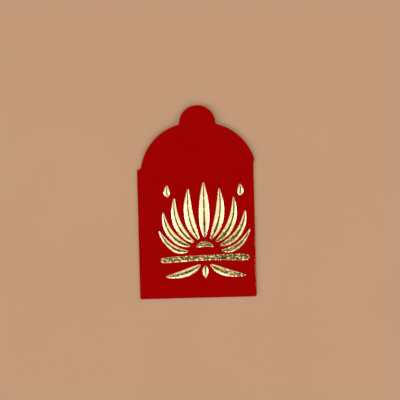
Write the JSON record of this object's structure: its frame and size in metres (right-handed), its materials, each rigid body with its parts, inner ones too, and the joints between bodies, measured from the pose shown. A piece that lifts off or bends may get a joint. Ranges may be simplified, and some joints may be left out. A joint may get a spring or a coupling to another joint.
{
  "type": "red envelope",
  "caption": "Flat paper gift envelope: glued pocket, round-shouldered closing flap with a thumb tab that folds over the back, and a raised gold foil lotus on the front.",
  "frame": {"origin": "middle of the pocket's back face, the face it lies on", "axes": "+X across the envelope to the right as the front is read, +Y from the bottom fold towards the open flap, +Z out of the front"},
  "size_m": [0.0606, 0.0989, 0.0016],
  "materials": {
    "red_paper": "matte",
    "gold_foil": "satin",
    "glue": "satin"
  },
  "bodies": {
    "pocket": {"front_panel": "red_paper", "back_panel": "red_paper", "bottom_fold": "red_paper", "left_fold": "red_paper", "right_fold": "red_paper", "left_side_tab": "red_paper", "right_side_tab": "red_paper", "flap_crease": "red_paper", "left_glue_strip": "glue", "right_glue_strip": "glue", "foil_centre_petal": "gold_foil", "foil_left_inner_petal": "gold_foil", "foil_right_inner_petal": "gold_foil", "foil_left_middle_petal": "gold_foil", "foil_right_middle_petal": "gold_foil", "foil_left_outer_petal": "gold_foil", "foil_right_outer_petal": "gold_foil", "foil_left_low_petal": "gold_foil", "foil_right_low_petal": "gold_foil", "foil_left_leaf": "gold_foil", "foil_right_leaf": "gold_foil", "foil_left_bud": "gold_foil", "foil_right_bud": "gold_foil", "foil_lotus_heart": "gold_foil", "foil_water_line": "gold_foil", "foil_root_drop": "gold_foil"},
    "flap": {"closing_flap": "red_paper"}
  },
  "joints": [
    {"name": "flap_fold", "type": "hinge", "parent": "pocket", "child": "flap", "pos_m": [0, 0.03375, 0.00035], "axis": [1, 0, 0], "range_deg": [-178, 0]}
  ]
}
